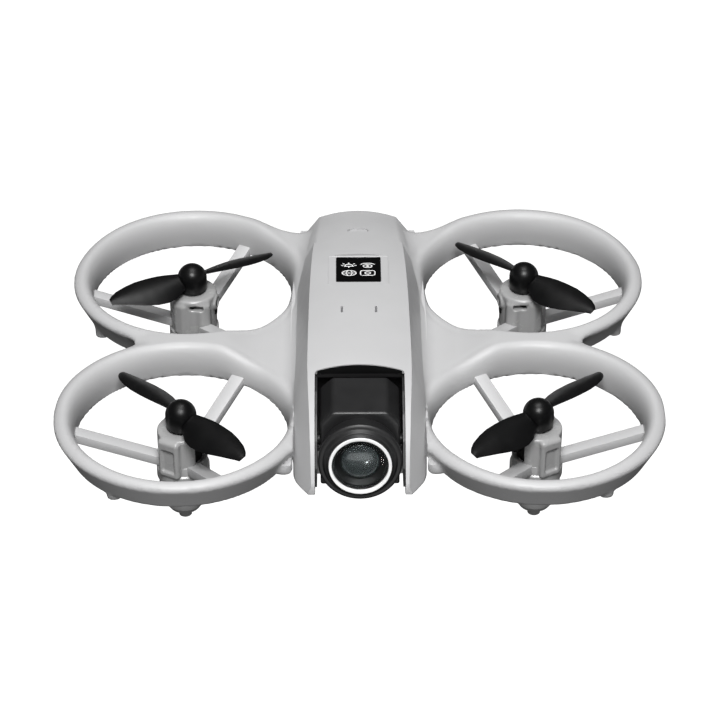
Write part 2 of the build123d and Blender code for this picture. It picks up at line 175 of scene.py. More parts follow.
def surface_net(field, low, high, cell):
    """Closed quad mesh where the field is zero, with its points moved onto the surface."""
    axes = [np.arange(a, b + cell, cell) for a, b in zip(low, high)]
    value = field(*np.meshgrid(*axes, indexing="ij"))
    shape = tuple(n - 1 for n in value.shape)
    total = np.zeros(shape + (3,))
    count = np.zeros(shape)
    crossings = []
    for axis in range(3):
        first = [slice(None)] * 3
        second = [slice(None)] * 3
        first[axis], second[axis] = slice(0, -1), slice(1, None)
        a, b = value[tuple(first)], value[tuple(second)]
        at = np.argwhere((a < 0) != (b < 0))
        va, vb = a[tuple(at.T)], b[tuple(at.T)]
        point = np.stack([axes[d][at[:, d]] for d in range(3)], 1)
        point[:, axis] += cell * va / (va - vb)
        u, v = (axis + 1) % 3, (axis + 2) % 3
        ring = []
        for du, dv in ((0, 0), (1, 0), (1, 1), (0, 1)):
            at_cell = at.copy()
            at_cell[:, u] -= du
            at_cell[:, v] -= dv
            np.add.at(total, tuple(at_cell.T), point)
            np.add.at(count, tuple(at_cell.T), 1)
            ring.append(at_cell)
        crossings.append((ring, va < 0))
    used = count > 0
    index = np.full(shape, -1)
    index[used] = np.arange(used.sum())
    points = total[used] / count[used][:, None]
    faces = []
    for ring, forward in crossings:
        quad = np.stack([index[tuple(c.T)] for c in ring], 1)
        faces.append(np.where(forward[:, None], quad, quad[:, ::-1]))
    probe = 0.05 * cell
    for _ in range(4):
        here = field(*points.T)
        slope = np.zeros_like(points)
        for d in range(3):
            ahead, behind = points.copy(), points.copy()
            ahead[:, d] += probe
            behind[:, d] -= probe
            slope[:, d] = (field(*ahead.T) - field(*behind.T)) / (2 * probe)
        step = slope * (here / np.maximum((slope ** 2).sum(1), 0.05))[:, None]
        length = np.linalg.norm(step, axis=1, keepdims=True)
        points -= step * np.minimum(1.0, 0.4 * cell / np.maximum(length, 1e-9))
    return points, np.concatenate(faces)


# ---- mesh helpers -----------------------------------------------------------------------
def add_piece(name, points, faces, body, slot, replaced=(), sharp=35.0):
    """New object from millimetre points, riding on a CAD body."""
    mesh = bpy.data.meshes.new(name)
    mesh.from_pydata((np.asarray(points, float) * MM).tolist(), [], [list(map(int, f)) for f in faces])
    mesh.validate()
    edit = bmesh.new()
    edit.from_mesh(mesh)
    bmesh.ops.remove_doubles(edit, verts=edit.verts, dist=1e-7)
    bmesh.ops.recalc_face_normals(edit, faces=edit.faces)
    edit.to_mesh(mesh)
    edit.free()
    mesh.shade_smooth()
    if sharp:
        mesh.set_sharp_from_angle(angle=math.radians(sharp))
    piece = bpy.data.objects.new(name, mesh)
    bpy.context.scene.collection.objects.link(piece)
    mesh.materials.append(MATERIALS[slot])
    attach(piece, body)
    if replaced:
        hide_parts(*replaced)
    return piece


def round_edges(piece, width_mm):
    """Rounds a piece's sharp edges, with its mesh left as it is."""
    bevel = piece.modifiers.new("edges", "BEVEL")
    bevel.width = width_mm * MM
    bevel.segments = 3
    bevel.limit_method = "ANGLE"
    bevel.angle_limit = math.radians(32.0)
    bevel.harden_normals = True


def joined(*parts):
    """One point list and one face list from several (points, faces) pairs."""
    points, faces, offset = [], [], 0
    for part_points, part_faces in parts:
        points.append(np.asarray(part_points, float))
        faces += [[int(i) + offset for i in face] for face in part_faces]
        offset += len(part_points)
    return np.concatenate(points), faces


def filleted(outline, radius, steps=5, closed=True):
    """Outline with its corners turned into arcs."""
    result = []
    count = len(outline)
    for i, point in enumerate(outline):
        here = np.array(point, float)
        if not closed and i in (0, count - 1):
            result.append(here)
            continue
        before = np.array(outline[i - 1], float) - here
        after = np.array(outline[(i + 1) % count], float) - here
        reach_a, reach_b = np.linalg.norm(before), np.linalg.norm(after)
        before, after = before / reach_a, after / reach_b
        half = math.acos(float(np.clip(before @ after, -1, 1))) / 2
        if half > math.radians(86.0):
            result.append(here)
            continue
        back = min(radius / math.tan(half), 0.45 * reach_a, 0.45 * reach_b)
        arc = back * math.tan(half)
        centre = here + (before + after) / np.linalg.norm(before + after) * arc / math.sin(half)
        start, end = here + before * back - centre, here + after * back - centre
        turn = math.atan2(start[0] * end[1] - start[1] * end[0], start @ end)
        for step in range(steps + 1):
            angle = turn * step / steps
            c, s = math.cos(angle), math.sin(angle)
            result.append(centre + (start[0] * c - start[1] * s, start[0] * s + start[1] * c))
    return result


def lathe(outline, segments=96):
    """Solid of revolution about Z from a closed outline of (radius, z)."""
    rows = len(outline)
    points = []
    for k in range(segments):
        angle = 2 * math.pi * k / segments
        points += [(max(r, 0.0) * math.cos(angle), max(r, 0.0) * math.sin(angle), z) for r, z in outline]
    faces = []
    for k in range(segments):
        here, there = k * rows, (k + 1) % segments * rows
        for i in range(rows):
            j = (i + 1) % rows
            if outline[i][0] < 1e-6 and outline[j][0] < 1e-6:
                continue
            faces.append((here + i, there + i, there + j, here + j))
    return np.array(points), faces


def prism(outline, low, high):
    """Upright solid with a closed (x, y) outline."""
    count = len(outline)
    points = [(x, y, low) for x, y in outline] + [(x, y, high) for x, y in outline]
    faces = [tuple(range(count))[::-1], tuple(range(count, 2 * count))]
    faces += [(i, (i + 1) % count, count + (i + 1) % count, count + i) for i in range(count)]
    return np.array(points, float), faces


def loop_loft(loops, cap_start=True, cap_end=True):
    """Skin over rings of points that all have the same length."""
    count = len(loops[0])
    points = np.concatenate([np.asarray(loop, float) for loop in loops])
    faces = []
    for k in range(len(loops) - 1):
        for i in range(count):
            j = (i + 1) % count
            faces.append((k * count + i, k * count + j, (k + 1) * count + j, (k + 1) * count + i))
    if cap_start:
        faces.append(tuple(range(count))[::-1])
    if cap_end:
        faces.append(tuple(range((len(loops) - 1) * count, len(loops) * count)))
    return points, faces


def round_rect(half_x, half_y, radius, steps=6):
    corners = [(half_x, half_y), (-half_x, half_y), (-half_x, -half_y), (half_x, -half_y)]
    return filleted(corners, radius, steps)


def moved(points, place):
    """Points carried by a millimetre placement matrix."""
    matrix = np.array(place)
    return np.asarray(points, float) @ matrix[:3, :3].T + matrix[:3, 3]


def about_z(degrees):
    return Matrix.Rotation(math.radians(degrees), 4, "Z")


# ---- materials --------------------------------------------------------------------------
def moulded(name, colour, roughness, grain=0.45, relief=0.004, mottle=0.03, haze=0.05, **sockets):
    """Moulded material: fine surface grain, faint flow marks and uneven gloss.

    grain is the size of the surface grain and relief its height, in millimetres; mottle is how far
    the colour varies and haze how far the roughness does. Other names set the shader's sockets.
    """
    material = bpy.data.materials.new(name)
    material.use_nodes = True
    tree = material.node_tree
    shader = tree.nodes["Principled BSDF"]
    for socket, value in sockets.items():
        shader.inputs[socket.replace("_", " ")].default_value = value
    place = tree.nodes.new("ShaderNodeTexCoord").outputs["Object"]

    def noise(scale, detail):
        node = tree.nodes.new("ShaderNodeTexNoise")
        node.inputs["Scale"].default_value = scale
        node.inputs["Detail"].default_value = detail
        node.inputs["Roughness"].default_value = 0.55
        tree.links.new(place, node.inputs["Vector"])
        return node.outputs["Fac"]

    def spread(source, low, high):
        node = tree.nodes.new("ShaderNodeMapRange")
        node.inputs["From Min"].default_value = 0.3
        node.inputs["From Max"].default_value = 0.7
        node.inputs["To Min"].default_value = low
        node.inputs["To Max"].default_value = high
        tree.links.new(source, node.inputs["Value"])
        return node.outputs["Result"]

    flow = noise(55.0, 3.0)
    speck = noise(1.0 / (grain * MM), 2.0)
    ramp = tree.nodes.new("ShaderNodeMix")
    ramp.data_type = "RGBA"
    dark = [max(c * (1 - mottle), 0.0) for c in colour]
    light = [min(c * (1 + mottle), 1.0) for c in colour]
    ramp.inputs["A"].default_value = (*dark, 1.0)
    ramp.inputs["B"].default_value = (*light, 1.0)
    blend = tree.nodes.new("ShaderNodeMath")
    blend.operation = "MULTIPLY_ADD"
    blend.inputs[1].default_value = 0.35
    tree.links.new(speck, blend.inputs[0])
    tree.links.new(spread(flow, 0.0, 0.65), blend.inputs[2])
    tree.links.new(blend.outputs[0], ramp.inputs["Factor"])
    tree.links.new(ramp.outputs["Result"], shader.inputs["Base Color"])
    tree.links.new(spread(noise(240.0, 4.0), roughness - haze, roughness + haze), shader.inputs["Roughness"])
    bump = tree.nodes.new("ShaderNodeBump")
    bump.inputs["Strength"].default_value = 0.6
    bump.inputs["Distance"].default_value = relief * MM
    tree.links.new(speck, bump.inputs["Height"])
    tree.links.new(bump.outputs["Normal"], shader.inputs["Normal"])
    return material


MATERIALS = {
    "shell_grey": moulded("shell_plastic", (0.44, 0.44, 0.444), 0.46),
    "guard_grey": moulded("guard_plastic", (0.44, 0.44, 0.444), 0.46),
    "clip_grey": moulded("clip_plastic", (0.32, 0.32, 0.32), 0.26, Coat_Weight=0.3, Coat_Roughness=0.12),
    "propeller_black": moulded("propeller_plastic", (0.0028, 0.0028, 0.003), 0.36, relief=0.006,
                               mottle=0.2, Specular_IOR_Level=0.26),
    "motor_black": moulded("motor_coating", (0.012, 0.012, 0.012), 0.38, mottle=0.2,
                           Metallic=0.4),
    "camera_black": moulded("camera_plastic", (0.012, 0.012, 0.0125), 0.44, mottle=0.2),
    # near black: on the notch plates it is painted shade, on the lens mask the dark inside of the lens
    "bay_black": moulded("near_black_shade_and_mask", (0.0022, 0.0022, 0.0023), 0.55, mottle=0.2,
                         Specular_IOR_Level=0.25),
    "trim_white": moulded("trim_plastic", (0.93, 0.93, 0.93), 0.35),
    "lens_dark": moulded("lens_coating", (0.020, 0.024, 0.025), 0.22, relief=0.0003, mottle=0.3,
                         Coat_Weight=1.0, Coat_Roughness=0.07),
    "lens_glass": moulded("cover_glass", (0.86, 0.89, 0.89), 0.012, relief=0.00005, mottle=0.01, haze=0.008,
                          Transmission_Weight=1.0, IOR=1.12, Specular_IOR_Level=0.0),
    "display_black": moulded("display_glass", (0.0012, 0.0012, 0.0013), 0.12, relief=0.0004, mottle=0.2,
                             Specular_IOR_Level=0.15, Coat_Weight=0.1, Coat_Roughness=0.06),
    "steel": moulded("steel", (0.55, 0.55, 0.55), 0.28, mottle=0.06, Metallic=1.0),
    "board_green": moulded("circuit_board", (0.02, 0.12, 0.05), 0.45, mottle=0.25),
    "brass": moulded("plated_contact", (0.70, 0.50, 0.22), 0.28, mottle=0.08, Metallic=1.0),
    "battery_grey": moulded("battery_plastic", (0.40, 0.40, 0.41), 0.52, relief=0.006),
    "light_pipe": moulded("light_pipe", (0.16, 0.16, 0.165), 0.30, mottle=0.05),
    "icon_white": moulded("icon_print", (0.80, 0.80, 0.80), 0.5, mottle=0.06),
}


# ---- guard frame: four bell-mouthed rings and the web that joins them --------------------
def ease(value, start, end):
    """Smooth step from 0 at start to 1 at end."""
    t = np.clip((value - start) / (end - start), 0.0, 1.0)
    return t * t * (3.0 - 2.0 * t)


def rolled_edge(inset, z, width, height, spring_z):
    """Upright wall whose top rolls over as a quarter ellipse; inset is the distance in from the wall."""
    across = np.maximum(1.0 - inset / width, 0.0)
    return (np.hypot(across, np.maximum(z - spring_z, 0.0) / height) - 1.0) * height


def line_field(x, y, start, end):
    """Distance to the left of a line, seen from above."""
    dx, dy = end[0] - start[0], end[1] - start[1]
    return ((y - start[1]) * dx - (x - start[0]) * dy) / math.hypot(dx, dy)


def guard_frame_field(x, y, z):
    x = np.abs(x)
    front = np.hypot(x - DUCT_X, y + DUCT_Y)
    rear = np.hypot(x - DUCT_X, y - DUCT_Y)
    # the lip grows a little towards the rear, and towards the notch on the front ring
    front_grow = 0.9 * ease(y, -34.0, -8.0) - 0.5 * ease(-y, 50.0, 65.0)
    rear_grow = 0.7 * ease(y, 40.0, 64.0)
    grow = np.where(y < 0, front_grow, rear_grow)
    from_duct = np.minimum(front, rear) - DUCT_R
    outline = smooth_min(front - RING_R - front_grow, rear - RING_R - rear_grow, 7.2)
    web = np.maximum(RING_R - 3.0 - front, RING_R - 3.0 - rear)
    web = np.maximum(web, x - NOTCH_X + NOTCH_SPREAD * np.abs(y))
    web = cut(2.0, web, line_field(x, y, *WEB_REAR_LINE), WEB_FRONT_Y - y)
    outline = smooth_min(outline, web, 2.0)
    from_edge = -outline
    sag = WEB_SAG * ease(-x, -38.0, -25.0) * ease(-np.abs(y), -34.0, -20.0)
    crest = CREST_Z + 0.9 * (grow - 0.9 * ease(-np.abs(y), -30.0, -8.0) * (y < 0)) - sag
    crest = crest - 0.07 * np.maximum(y - 38.0, 0.0) * ease(-x, -30.0, -19.0)
    lip = LIP_R + grow / 2
    roll = lip + 1.8 * ease(from_edge, 2 * LIP_R, 2 * LIP_R + 3.0)
    inner = rolled_edge(from_duct, z, roll, BELL_DEPTH, crest - BELL_DEPTH)
    outer = rolled_edge(from_edge, z, lip, lip, crest - lip)
    skirt = 0.9 * outline + 0.436 * (SKIRT_Z - z)
    field = cut(0.5, np.maximum(inner, outer), skirt, FOOT_Z - z)
    # a fillet that follows the fuselage joins the rings to it
    flank = np.maximum(shell_outer(x, y, z) + 0.5, np.maximum(y - 55.6, z - 37.0))
    core = cut(0.8, flank, WEB_LOW_Z - z, -45.0 - y)
    field = smooth_min(field, core, 1.2 + 3.2 * ease(from_duct, 1.0, 5.0))
    field = smooth_max(field, -0.8 - from_duct, 1.6)
    # short studs under the rings, and a boss where each cheek is screwed to the frame
    studs = []
    for stud_x, stud_y in STUD_PLACES:
        studs.append(cut(0.5, np.hypot(x - stud_x, y - stud_y) - STUD_R, 22.9 - z, z - 28.0))
    boss = cut(0.5, np.hypot(x - BOSS_X, y - BOSS_Y) - BOSS_R, 26.6 - z, z - 29.6)
    field = smooth_min(field, np.minimum(studs[0], studs[1]), 0.8)
    field = smooth_min(field, boss, 1.0)
    # nothing of the frame stands inside the fuselage
    in_x = FRAME_IN_X + FRAME_IN_GROW * ease(-y, 24.0, 30.0)
    keep = np.where(y > 20.0, np.minimum(-shell_outer(x, y, z) - 1.8, in_x - x), in_x - x)
    return np.maximum(field, keep)


# ---- top shell ---------------------------------------------------------------------------
def shell_outer(x, y, z):
    """Distance outside the fuselage's crown, sloping flanks and upright sides."""
    ridge_x, ridge_z, crown, side_x, side_z = [station_value(y, c) for c in range(1, 6)]
    slope = (station_value(y + 0.2, 2) - station_value(y - 0.2, 2)) / 0.4
    top = (z - crown + (crown - ridge_z) * (x / ridge_x) ** 2) / np.sqrt(1.0 + slope ** 2)
    dx, dz = side_x - ridge_x, ridge_z - side_z
    flank = ((x - ridge_x) * dz + (z - ridge_z) * dx) / np.hypot(dx, dz)
    return cut(0.3, top, flank, x - side_x)


def shell_bottom(y):
    """Height of the shell's lower edge, along the cheeks or along the fuselage."""
    return 21.2 - 0.055 * (y - NOSE_Y) if y < CHEEK_BACK_Y else station_value(y, 5) - 0.4


def shell_section(y, inset=0.0):
    """Closed cross-section of the shell's outside at one y, with a crisp ridge on each side."""
    ridge_x, ridge_z, crown, side_x, side_z = [float(station_value(y, c)) for c in range(1, 6)]
    ridge_x, side_x = ridge_x - inset, side_x - inset
    half = [(side_x, float(shell_bottom(y))), (side_x, side_z - inset), (ridge_x, ridge_z - inset)]
    half = filleted(half, 2.0, 4, closed=False)
    top = []
    for step in range(1, 24):
        x = ridge_x * (1.0 - step / 12.0)
        top.append((x, crown - inset - (crown - ridge_z) * (x / ridge_x) ** 2))
    return [tuple(p) for p in half] + top + [(-p[0], p[1]) for p in reversed(half)]


quality = 1.0
guard_points, guard_faces = surface_net(
    guard_frame_field, FRAME_LOW, FRAME_HIGH, FRAME_CELL * quality)
add_piece("guard_frame", guard_points, guard_faces, "airframe", "guard_grey",
          [f"guard_ring_{c}" for c in CORNERS], sharp=50.0)

rows = list(np.linspace(CHEEK_TIP_Y + 0.02, NOSE_Y, 48))
rows += list(np.linspace(NOSE_Y + 0.8, REAR_Y - 0.7, 90))
rows += [CHEEK_BACK_Y - 0.05, CHEEK_BACK_Y + 0.05]
loops = [[(x, y, z) for x, z in shell_section(y)] for y in sorted(rows)]
for back, inset in ((0.35, 0.08), (0.12, 0.25), (0.0, 0.55)):
    loops.append([(x, REAR_Y - back, z) for x, z in shell_section(REAR_Y - back, inset)])
shell_points, shell_faces = loop_loft(loops)
shell = add_piece("top_shell_skin", shell_points, shell_faces, "airframe", "shell_grey", ["top_shell"],
                  sharp=0.0)


def cutter(name, points, faces):
    """Hidden solid that a boolean takes out of the shell."""
    mesh = bpy.data.meshes.new(name)
    mesh.from_pydata((np.asarray(points, float) * MM).tolist(), [], [list(map(int, f)) for f in faces])
    edit = bmesh.new()
    edit.from_mesh(mesh)
    bmesh.ops.recalc_face_normals(edit, faces=edit.faces)
    edit.to_mesh(mesh)
    edit.free()
    tool = bpy.data.objects.new(name, mesh)
    bpy.context.scene.collection.objects.link(tool)
    return tool


def apply_modifiers(piece, tools=()):
    """Turns the modified shape into the object's own mesh and removes the tools."""
    bpy.context.view_layer.update()
    solved = piece.evaluated_get(bpy.context.evaluated_depsgraph_get())
    shaped = bpy.data.meshes.new_from_object(solved)
    piece.modifiers.clear()
    piece.data = shaped
    for tool in tools:
        bpy.data.objects.remove(tool)


DISPLAY_PLACE = Matrix.Translation((0, 17.4, 43.98)) @ Matrix.Rotation(math.radians(-3.4), 4, "X")
BUTTON_PLACE = Matrix.Translation((0, 41.0, 41.42)) @ Matrix.Rotation(math.radians(-10.8), 4, "X")
CHARGE_Z = 33.5
button_outline = round_rect(2.75, 1.5, 1.45)
well_outline = round_rect(2.87, 1.62, 1.57)
# display recess, button well and charging opening
openings = [
    (prism(round_rect(8.35, 7.95, 0.7), -0.6, 4.0), DISPLAY_PLACE),
    (prism(well_outline, -4.0, 4.0), BUTTON_PLACE),
    (prism(round_rect(4.65, 1.8, 1.75), -8.0, 1.0),
     Matrix.Translation((0, REAR_Y, CHARGE_Z)) @ Matrix.Rotation(math.radians(90.0), 4, "X")),
]
# the round bay behind the camera head, as a prism along X
YZ_TO_X = Matrix(((0, 0, 1, 0), (1, 0, 0, 0), (0, 1, 0, 0), (0, 0, 0, 1)))
cavity_outline = [(PIVOT_Y + 2.0, 10.0)]
for step in range(14):
    angle = math.radians(-90.0 + 11.0 * step)
    cavity_outline.append((PIVOT_Y + CAVITY_R * math.cos(angle), PIVOT_Z + CAVITY_R * math.sin(angle)))
cavity_outline += [(cavity_outline[-1][0], 60.0), (-70.0, 60.0), (-70.0, 10.0)]
openings.append((prism(cavity_outline, -NOTCH_IN_X, NOTCH_IN_X), YZ_TO_X))


def notch_edge_y(x):
    """The shell's front edge over the camera, bowed a little to the rear in the middle."""
    return NOSE_Y - 0.5 + 1.1 * (1.0 - (x / NOTCH_IN_X) ** 2)


NOTCH_CORNER = 0.9
corner_y = notch_edge_y(NOTCH_IN_X)
mouth_x = np.linspace(NOTCH_IN_X - NOTCH_CORNER, NOTCH_CORNER - NOTCH_IN_X, 25)
mouth_outline = [(x, notch_edge_y(x)) for x in mouth_x]
mouth_outline += [(-NOTCH_IN_X + 0.25, corner_y - 0.15), (-NOTCH_IN_X, corner_y - NOTCH_CORNER)]
mouth_outline += [(-NOTCH_IN_X, -70.0), (NOTCH_IN_X, -70.0)]
mouth_outline += [(NOTCH_IN_X, corner_y - NOTCH_CORNER), (NOTCH_IN_X - 0.25, corner_y - 0.15)]
openings.append((prism(mouth_outline, 36.0, 60.0), Matrix()))
# the hollow inside the shell, which leaves its wall
hollow_loops = []
for y in [-20.5] + list(np.linspace(-19.0, REAR_Y - WALL, 30)):
    ridge_x, ridge_z, crown, side_x, side_z = [float(station_value(y, c)) for c in range(1, 6)]
    inner = [(side_x - WALL, 20.0), (side_x - WALL, side_z), (ridge_x - 0.85 * WALL, ridge_z - WALL)]
    top = [(x, crown - WALL - (crown - ridge_z) * (x / ridge_x) ** 2)
           for x in np.linspace(ridge_x - 2.0 * WALL, 2.0 * WALL - ridge_x, 15)]
    section = inner + top + [(-p[0], p[1]) for p in reversed(inner)]
    hollow_loops.append([(x, y, z) for x, z in section])
openings.append((loop_loft(hollow_loops), Matrix()))
for side in (-1, 1):
    slot = prism(round_rect(0.3, 1.5, 0.28), -3.0, 3.0)
    openings.append((slot, Matrix.Translation((side * SLOT_X, SLOT_Y, 45.0))))
tools = []
for number, ((points, faces), place) in enumerate(openings):
    tool = cutter(f"opening_{number}", moved(points, place), faces)
    boolean = shell.modifiers.new(f"opening_{number}", "BOOLEAN")
    boolean.operation = "DIFFERENCE"
    boolean.solver = "EXACT"
    boolean.object = tool
    tools.append(tool)
apply_modifiers(shell, tools)
shell.data.shade_smooth()
shell.data.set_sharp_from_angle(angle=math.radians(50.0))


# ---- display, its symbols, the button and the light pipes --------------------------------
def place_loop(outline, height):
    """Flat outline raised to one height."""
    return [(x, y, height) for x, y in outline]


def crown_height(x, y):
    """Height of the shell's crown above a point."""
    crown, ridge_z, ridge_x = station_value(y, 3), station_value(y, 2), station_value(y, 1)
    return crown - (crown - ridge_z) * (x / ridge_x) ** 2


def on_crown(outline, place, lift):
    """Points of an outline in the display's plane, raised to the shell's surface."""
    points = moved(place_loop(outline, 0.0), place)
    points[:, 2] = crown_height(points[:, 0], points[:, 1]) + lift
    return points


WINDOW_PLACE = DISPLAY_PLACE @ Matrix.Translation((0, 0.6, 0))
# from the recess wall, over a thin raised edge, down to the sunk border of the window
bezel_loops = [
    on_crown(round_rect(8.36, 7.96, 0.72, 8), DISPLAY_PLACE, -0.5),
    on_crown(round_rect(8.36, 7.96, 0.72, 8), DISPLAY_PLACE, -0.02),
    on_crown(round_rect(8.18, 7.78, 0.60, 8), DISPLAY_PLACE, 0.02),
    on_crown(round_rect(8.02, 7.62, 0.50, 8), DISPLAY_PLACE, -0.10),
    moved(place_loop(round_rect(7.94, 7.54, 0.45, 8), 0.0), DISPLAY_PLACE),
    moved(place_loop(round_rect(6.10, 6.80, 0.40, 8), 0.0), WINDOW_PLACE),
    moved(place_loop(round_rect(6.05, 6.75, 0.35, 8), -0.12), WINDOW_PLACE),
    moved(place_loop(round_rect(6.05, 6.75, 0.35, 8), -0.9), WINDOW_PLACE),
    moved(place_loop(round_rect(8.30, 7.90, 0.70, 8), -0.9), DISPLAY_PLACE),
]
bezel_points, bezel_faces = loop_loft(bezel_loops, False, False)
count = len(bezel_loops[0])
last = (len(bezel_loops) - 1) * count
bezel_faces += [(last + i, last + (i + 1) % count, (i + 1) % count, i) for i in range(count)]
add_piece("display_bezel", bezel_points, bezel_faces, "airframe", "shell_grey", sharp=38.0)

window_loops = [place_loop(round_rect(6.0, 6.7, 0.32), -0.85), place_loop(round_rect(6.0, 6.7, 0.32), -0.08),
                place_loop(round_rect(5.93, 6.63, 0.28), -0.02)]
points, faces = loop_loft(window_loops)
add_piece("display_glass", moved(points, WINDOW_PLACE), faces, "airframe", "display_black",
          ["display_window"])


BAR = 0.28
PRINT = 0.05


def stroke(path, width, closed=False):
    """Flat bar of constant width that follows a path in the display's plane."""
    path = [np.array(p, float) for p in path]
    count = len(path)
    left, right = [], []
    for i, point in enumerate(path):
        before = path[i - 1] if i or closed else point
        after = path[(i + 1) % count] if i < count - 1 or closed else point
        along = (after - before) / np.linalg.norm(after - before)
        across = np.array((-along[1], along[0])) * width / 2
        left.append(point + across)
        right.append(point - across)
    points = []
    for a, b in zip(left, right):
        points += [(*a, 0.0), (*b, 0.0), (*b, PRINT), (*a, PRINT)]
    faces = []
    runs = count if closed else count - 1
    for i in range(runs):
        here, there = 4 * i, 4 * ((i + 1) % count)
        faces += [(here + k, there + k, there + (k + 1) % 4, here + (k + 1) % 4) for k in range(4)]
    if not closed:
        faces += [(3, 2, 1, 0), tuple(4 * (count - 1) + k for k in range(4))]
    return points, faces


def arc(centre, radius_x, radius_y, start, end, steps=20):
    angles = np.radians(np.linspace(start, end, steps))
    return [(centre[0] + radius_x * math.cos(a), centre[1] + radius_y * math.sin(a)) for a in angles]


symbol_parts = [
    # lamp with rays
    stroke(arc((-2.6, 1.8), 1.05, 1.0, 0, 180), BAR),
    stroke([(-3.9, 1.65), (-1.3, 1.65)], BAR),
    stroke([(-2.6, 1.5), (-2.6, 0.9)], BAR),
    stroke([(-2.6, 3.1), (-2.6, 3.6)], BAR),
    stroke([(-3.75, 2.75), (-4.2, 3.15)], BAR),
    stroke([(-1.45, 2.75), (-1.0, 3.15)], BAR),
    stroke([(-4.1, 2.05), (-4.7, 2.05)], BAR),
    stroke([(-1.1, 2.05), (-0.5, 2.05)], BAR),
    # eye under a curved bar
    stroke(arc((2.5, 2.3), 2.0, 1.0, 20, 160), BAR),
    stroke(arc((2.5, 1.75), 1.2, 0.78, 0, 342, 22), BAR, True),
    prism(arc((2.5, 1.75), 0.38, 0.38, 0, 342, 18), 0.0, PRINT),
    # globe
    stroke(arc((-2.5, -2.0), 1.9, 1.35, 0, 342, 24), BAR, True),
    stroke(arc((-2.5, -2.0), 0.8, 1.3, 0, 342, 22), BAR * 0.8, True),
    stroke([(-4.3, -2.0), (-0.7, -2.0)], BAR * 0.8),
    # rounded frame round a circle
    stroke(round_rect(1.95, 1.3, 0.7) + np.array((2.5, -2.0)), BAR, True),
    stroke(arc((2.5, -2.0), 0.72, 0.66, 0, 342, 20), BAR, True),
]
points, faces = joined(*symbol_parts)
points = moved(points, WINDOW_PLACE @ Matrix.Translation((0, 0, -0.03)))
symbols = add_piece("display_symbols", points, faces, "airframe", "trim_white", sharp=30.0)
symbols.data.materials[0] = MATERIALS["icon_white"]

button_loops = [place_loop(button_outline, -1.6), place_loop(button_outline, -0.06),
                place_loop(round_rect(2.68, 1.43, 1.4), 0.0), place_loop(round_rect(1.6, 0.6, 0.55), -0.05)]
points, faces = loop_loft(button_loops)
add_piece("power_button_cap", moved(points, BUTTON_PLACE), faces, "power_button", "shell_grey",
          ["power_button"])

pipes = []
for side in (-1, 1):
    points, faces = prism(round_rect(0.27, 1.47, 0.26), -2.0, -0.35)
    place = Matrix.Translation((side * SLOT_X, SLOT_Y, crown_height(SLOT_X, SLOT_Y)))
    pipes.append((moved(points, place), faces))
points, faces = joined(*pipes)
add_piece("light_pipe_lenses", points, faces, "airframe", "light_pipe", ["status_light_pipes"])


# ---- motor pods and spokes ----------------------------------------------------------------
def pod_cup_outline():
    """Bowl round the motor's lower half, from its nub to its rim and back down inside."""
    outline = [(0, 0.02), (1.7, 0.02), (1.75, 1.45), (2.6, 1.9), (4.1, 3.1), (5.2, 4.8), (6.0, 7.5),
               (6.4, 10.0), (6.4, 13.4), (6.9, 13.5), (6.9, 16.6), (6.45, 17.0), (6.45, 19.6),
               (5.05, 19.6), (5.05, 6.1), (0, 6.1)]
    inner = filleted(outline[1:-1], 0.25, 3, closed=False)
    return [outline[0]] + inner + [outline[-1]]


MOTOR_R = 5.05


def front_clip_field(x, y, z):
    """Left front motor holder: a raised frame outside, a wrapped cap, and a mouth towards the fuselage."""
    r = np.hypot(x, y)
    wall = cut(0.5, r - 6.35, MOTOR_R - r, z - 27.9, 17.0 - z)
    cap = cut(0.6, r - 6.35, 1.7 - r, z - 28.1, 27.3 - z)
    mouth = box_field(x, y, z, (6.0, 0.0, 23.0), (4.5, 5.0, 3.4), 0.8)
    parts = [smooth_max(np.minimum(wall, cap), -mouth, 0.4)]
    # heading, half width, bottom, top and reach of the two raised frames
    for degrees, half, low, high, out in ((242.0, 3.0, 16.6, 27.9, 7.5), (118.0, 2.0, 17.5, 27.7, 7.1)):
        c, s = math.cos(math.radians(degrees)), math.sin(math.radians(degrees))
        along, across = x * c + y * s, -x * s + y * c
        middle, tall = (low + high) / 2, (high - low) / 2
        block = box_field(along, across, z, (out - 1.4, 0, middle), (1.4, half, tall), 0.9)
        block = smooth_max(block, 4.9 - r, 0.3)
        window = box_field(along, across, z, (out + 0.5, 0.0, low + 5.2), (1.15, half - 1.15, 3.4), 0.5)
        block = smooth_max(block, -window, 0.35)
        shelf = box_field(along, across, z, (4.9, 0.0, high - 0.9), (2.0, half - 0.2, 0.8), 0.5)
        parts += [block, smooth_max(shelf, 2.6 - r, 0.3)]
    return union(0.5, *parts)


